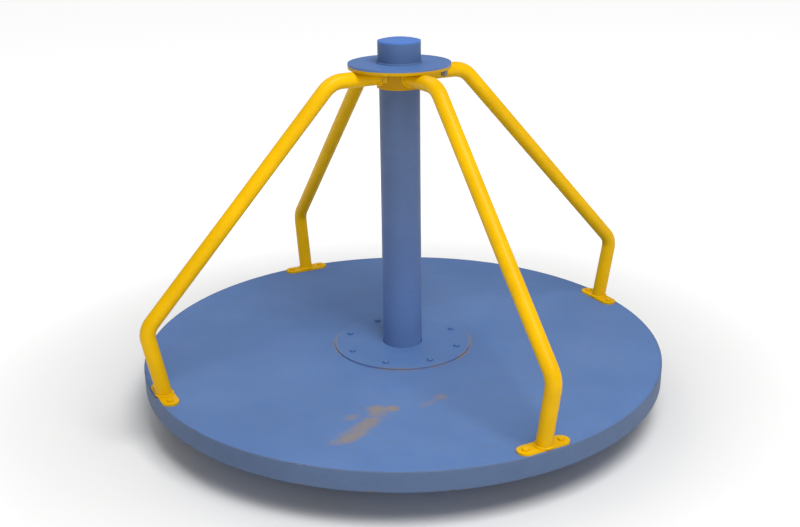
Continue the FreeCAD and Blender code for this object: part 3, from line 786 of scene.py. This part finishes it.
class MGR_OT_hub(bpy.types.Operator):
    """Paint the hub disc, flange and collar, and weld the collar on"""
    bl_idname = "mgr.hub"
    bl_label = "Hub"

    def execute(self, context):
        blue = hub_paint("hub paint", paints().hub)
        # The flange and collar paints are darker yellows as painted shade under the disc; the collar weld
        # takes the collar's.
        yellow = handle_paint("flange paint", paints().flange)
        shaded_collar_yellow = handle_paint("collar paint", paints().collar)
        coat(["hub_disc"], blue)
        coat(["hub_bolts"], hub_bolt_paint())
        coat(["hub_flange"], yellow)
        coat(["hub_collar"], shaded_collar_yellow)
        coat(["hub_washers", "hub_nuts"], hub_nut_paint())
        soften(["hub_disc", "hub_flange"], PLATE_EDGE)
        bead = context.scene.mgr_weld.bead

        def weld(work):
            add_ring_bead(work, COLLAR_RADIUS + bead * CORNER_SET, FLANGE_UNDER - bead * CORNER_SET, bead,
                          seed=91)

        add_piece("collar_weld", weld, shaded_collar_yellow, "carousel")
        return {"FINISHED"}


class MGR_OT_cap(bpy.types.Operator):
    """Paint the bearing cap and its lid, and weld the cap to the disc"""
    bl_idname = "mgr.cap"
    bl_label = "Bearing cap"

    def execute(self, context):
        # The cap and its weld get the darker blue as painted shade on the side, and the lid the brighter blue
        # as painted light on its top.
        blue = hub_paint("cap paint", paints().cap)
        coat(["bearing_cap"], blue)
        coat(["cap_lid"], hub_paint("lid paint", paints().lid))
        bead = context.scene.mgr_weld.bead

        def weld(work):
            add_ring_bead(work, CAP_RADIUS + bead * CAP_SET, HUB_TOP + bead * CAP_SET, bead, seed=101)

        add_piece("cap_weld", weld, blue, "carousel")
        return {"FINISHED"}


class MGR_OT_handles(bpy.types.Operator):
    """Paint the handles and weld them to the collar and to their foot bars"""
    bl_idname = "mgr.handles"
    bl_label = "Handles"

    def execute(self, context):
        yellow = handle_paint("handle paint", paints().handle)
        tubes = [f"handle_{number}" for number in range(1, HANDLE_COUNT + 1)]
        bars = [f"foot_bar_{number}" for number in range(1, HANDLE_COUNT + 1)]
        coat(tubes + bars + ["foot_bolts"], yellow)
        coat(["foot_washers", "foot_nuts"], zinc_steel())
        soften(bars, BAR_EDGE)
        bead = context.scene.mgr_weld.bead
        tube, stub_height, foot_middle, lean = handle_ends()
        for number, turn in enumerate(HANDLE_ANGLES, start=1):
            def weld(work):
                saddle, saddle_axes = saddle_path(tube, stub_height)
                add_bead(work, turned(saddle, turn), turned_axes(saddle_axes, turn), bead,
                         closed=True, seed=number)
                foot, foot_axes = foot_path(tube, foot_middle, lean)
                add_bead(work, turned(foot, turn), turned_axes(foot_axes, turn), bead,
                         closed=True, seed=20 + number)

            add_piece(f"handle_welds_{number}", weld, yellow, "carousel")
        return {"FINISHED"}


def handle_ends():
    """Tube radius, height of the stub's centre, and the foot's centre and lean, from the frame."""
    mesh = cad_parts["handle_1"].data
    turn = Matrix.Rotation(-HANDLE_ANGLES[0], 3, "Z")
    spots = [turn @ vertex.co for vertex in mesh.vertices]
    tube = max(spot.y for spot in spots)
    near_collar = [spot for spot in spots if spot.x < COLLAR_RADIUS + COLLAR_REACH]
    stub_height = (max(spot.z for spot in near_collar) + min(spot.z for spot in near_collar)) / 2
    foot = [spot for spot in spots if spot.z < FOOT_TOP + FOOT_REACH]
    low, high = min(spot.x for spot in foot), max(spot.x for spot in foot)
    lean = math.acos(min(1.0, 2 * tube / (high - low)))
    return tube, stub_height, (low + high) / 2, lean


def saddle_path(tube, height):
    """Where the horizontal stub meets the round collar."""
    reach = tube + BEAD_LIFT
    points = []
    outward = []
    for number in range(TUBE_STEPS):
        turn = math.tau * number / TUBE_STEPS
        across = reach * math.cos(turn)
        along = math.sqrt(COLLAR_RADIUS ** 2 - across ** 2)
        points.append(Vector((along + BEAD_LIFT, across, height + reach * math.sin(turn))))
        side = Vector((0, math.cos(turn), math.sin(turn)))
        outward.append((side, Vector((1, 0, 0))))
    return points, outward


def foot_path(tube, middle, lean):
    """Where the leaning leg meets the flat foot bar."""
    reach = tube + BEAD_LIFT
    points = []
    outward = []
    for number in range(TUBE_STEPS):
        turn = math.tau * number / TUBE_STEPS
        x = middle + reach / math.cos(lean) * math.cos(turn)
        y = reach * math.sin(turn)
        points.append(Vector((x, y, FOOT_TOP + BEAD_LIFT)))
        outward.append((Vector((math.cos(turn), math.sin(turn), 0)), Vector((0, 0, 1))))
    return points, outward


class MGR_OT_stage(bpy.types.Operator):
    """Lay the floor, light it softly and set the camera"""
    bl_idname = "mgr.stage"
    bl_label = "Stage"

    def execute(self, context):
        scene = context.scene
        settings = scene.mgr_stage
        lay_floor(settings)
        hang_lights(settings)
        set_camera(scene, settings)
        scene.view_settings.view_transform = "Standard"
        return {"FINISHED"}


def lay_floor(settings):
    """A plain pale floor that glows softly away from the merry-go-round, so its far part stays white."""
    mesh = bpy.data.meshes.new("floor")
    half = settings.floor_size
    corners = [(-half, -half, -FLOOR_GAP), (half, -half, -FLOOR_GAP),
               (half, half, -FLOOR_GAP), (-half, half, -FLOOR_GAP)]
    mesh.from_pydata(corners, [], [(0, 1, 2, 3)])
    floor = bpy.data.objects.new("floor", mesh)
    bpy.context.scene.collection.objects.link(floor)
    surface = Surface("pale floor")
    radius = surface.polar(surface.place())[0]
    grain = surface.noise(surface.place(), scale=6.0, detail=4.0, roughness=0.5)
    mesh.materials.append(surface.finish(
        Base_Color=surface.mix(grain, tint(settings.floor, 0.985), tuple(settings.floor)),
        Roughness=0.9,
        Emission_Color=surface.shade((1.0, 1.0, 1.0), radius.rise(0.7, 2.3)),
        Emission_Strength=settings.floor_glow,
    ))


def hang_lights(settings):
    """An even white studio, with three square lights over the merry-go-round."""
    world = bpy.data.worlds.new("studio")
    bpy.context.scene.world = world
    world.use_nodes = True
    background = world.node_tree.nodes["Background"]
    background.inputs["Color"].default_value = (1.0, 1.0, 1.0, 1.0)
    background.inputs["Strength"].default_value = settings.studio
    # Name, place, width in metres and power in watts.
    lights = (
        ("key", (1.5, -1.7, 4.3), 2.4, 165.0),
        ("fill", (1.2, -3.8, 1.8), 1.6, 12.0),
        ("back", (-2.4, 1.4, 3.8), 2.6, 27.0),
    )
    for name, place, size, power in lights:
        lamp = bpy.data.lights.new(name, "AREA")
        lamp.shape = "SQUARE"
        lamp.size = size
        lamp.energy = power
        holder = bpy.data.objects.new(name, lamp)
        holder.location = place
        aim = Vector((0, 0, LIGHT_AIM)) - Vector(place)
        holder.rotation_euler = aim.to_track_quat("-Z", "Y").to_euler()
        bpy.context.scene.collection.objects.link(holder)


def set_camera(scene, settings):
    """Camera at a height and distance from the post, looking down a little."""
    tilt, roll, swing = settings.tilt, settings.roll, settings.swing
    ahead = Vector((math.sin(swing) * math.cos(tilt), math.cos(swing) * math.cos(tilt), -math.sin(tilt)))
    level = Vector((math.cos(swing), -math.sin(swing), 0))
    above = level.cross(ahead)
    right = level * math.cos(roll) + above * math.sin(roll)
    up = above * math.cos(roll) - level * math.sin(roll)
    facing = Matrix((right, up, -ahead)).transposed().to_4x4()
    around = Matrix.Rotation(settings.turn, 4, "Z")
    spot = Vector((0, -settings.distance, DECK_TOP + settings.height))
    lens = bpy.data.cameras.new("camera")
    lens.lens = settings.lens
    lens.sensor_width = SENSOR_WIDTH
    holder = bpy.data.objects.new("camera", lens)
    holder.matrix_world = around @ Matrix.Translation(spot) @ facing
    scene.collection.objects.link(holder)
    scene.camera = holder


class MGR_PT_panel(bpy.types.Panel):
    """Settings and steps for the merry-go-round"""
    bl_label = "Merry-Go-Round"
    bl_idname = "MGR_PT_panel"
    bl_space_type = "VIEW_3D"
    bl_region_type = "UI"
    bl_category = "Merry-Go-Round"

    def draw(self, context):
        layout = self.layout
        for group in (context.scene.mgr_paint, context.scene.mgr_weld, context.scene.mgr_stage):
            box = layout.box()
            for key in group.__annotations__:
                box.prop(group, key)
        for step in STEPS:
            layout.operator(step.bl_idname)


STEPS = (MGR_OT_deck, MGR_OT_cover, MGR_OT_under_frame, MGR_OT_post, MGR_OT_bearing,
         MGR_OT_hub, MGR_OT_cap, MGR_OT_handles, MGR_OT_stage)
GROUPS = {"mgr_paint": PaintSettings, "mgr_weld": WeldSettings, "mgr_stage": StageSettings}


def register():
    for name, group in GROUPS.items():
        bpy.utils.register_class(group)
        setattr(bpy.types.Scene, name, PointerProperty(type=group))
    for made in (*STEPS, MGR_PT_panel):
        bpy.utils.register_class(made)


def unregister():
    for made in reversed((*STEPS, MGR_PT_panel)):
        bpy.utils.unregister_class(made)
    for name, group in GROUPS.items():
        delattr(bpy.types.Scene, name)
        bpy.utils.unregister_class(group)


def main():
    """Register the add-on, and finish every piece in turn."""
    register()
    for step in STEPS:
        family, name = step.bl_idname.split(".")
        getattr(getattr(bpy.ops, family), name)()


if __name__ == "__main__":
    main()
